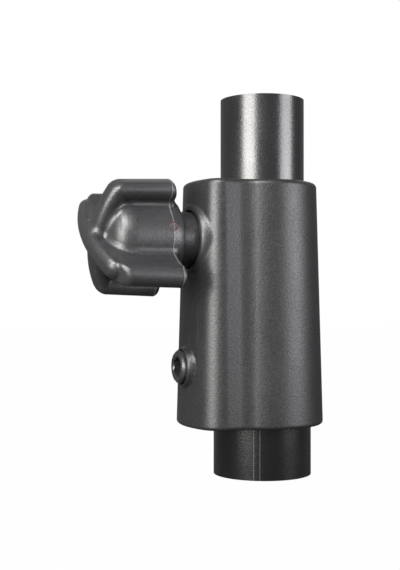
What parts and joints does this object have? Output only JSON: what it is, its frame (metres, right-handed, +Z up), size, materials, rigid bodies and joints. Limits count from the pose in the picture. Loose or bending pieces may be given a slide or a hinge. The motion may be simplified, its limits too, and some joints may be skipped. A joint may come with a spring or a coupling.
{
  "type": "height lock of a lighting stand's telescopic mast",
  "caption": "Telescopic mast joint of a lighting stand: a moulded collar with a winged clamp knob and a collar screw guides and locks a sliding upper tube in a wider lower tube.",
  "frame": {"origin": "centre of the lower tube's cut lower end, on the mast's axis", "axes": "+Z up the mast; the knob and the collar screw point to -X; +Y completes the right-handed frame"},
  "size_m": [0.0883, 0.0462, 0.134],
  "materials": {
    "lower_tube_finish": "black powder coat, satin",
    "upper_tube_finish": "smooth black lacquer, half gloss",
    "collar_moulding": "glass-filled nylon, fine grain",
    "knob_moulding": "glass-filled nylon, fine grain",
    "black_screw": "black oxide, oiled",
    "brass": "turned",
    "plated_steel": "bright zinc plate",
    "dark_bush": "moulded acetal",
    "pale_bush": "moulded acetal, natural",
    "buffer_rubber": "soft moulded rubber"
  },
  "bodies": {
    "mast_base": {"lower_tube": "lower_tube_finish", "collar_body": "collar_moulding", "grub_insert": "brass", "grub_disc": "brass", "grub_screw": "black_screw", "clamp_insert": "brass", "upper_bush": "dark_bush", "mouth_bush": "pale_bush"},
    "glide": {"glide_ring": "pale_bush"},
    "upper_mast": {"upper_tube": "upper_tube_finish", "foot_plug": "dark_bush", "foot_disc": "plated_steel", "foot_screw": "plated_steel", "foot_pins": "plated_steel", "buffer_ring": "buffer_rubber"},
    "shoe": {"clamp_shoe": "dark_bush", "stud_clip": "plated_steel"},
    "knob": {"knob_body": "knob_moulding", "clamp_stud": "plated_steel", "knob_nut": "plated_steel"}
  },
  "joints": [
    {"name": "mast_slide", "type": "slide", "parent": "mast_base", "child": "glide", "axis": [0, 0, 1], "range_m": [-0.017, 0.0215]},
    {"name": "mast_swivel", "type": "hinge", "parent": "glide", "child": "upper_mast", "pos_m": [0, 0, 0.025], "axis": [0, 0, 1], "continuous": true},
    {"name": "pad_press", "type": "slide", "parent": "mast_base", "child": "shoe", "axis": [-1, 0, 0], "range_m": [0, 0.0023]},
    {"name": "knob_turn", "type": "hinge", "parent": "shoe", "child": "knob", "pos_m": [-0.05, 0, 0.0835], "axis": [-1, 0, 0], "range_deg": [0, 540]}
  ],
  "couplings": [
    {"joint": "pad_press", "follows": "knob_turn", "m_per_rad": 0.00023873}
  ]
}
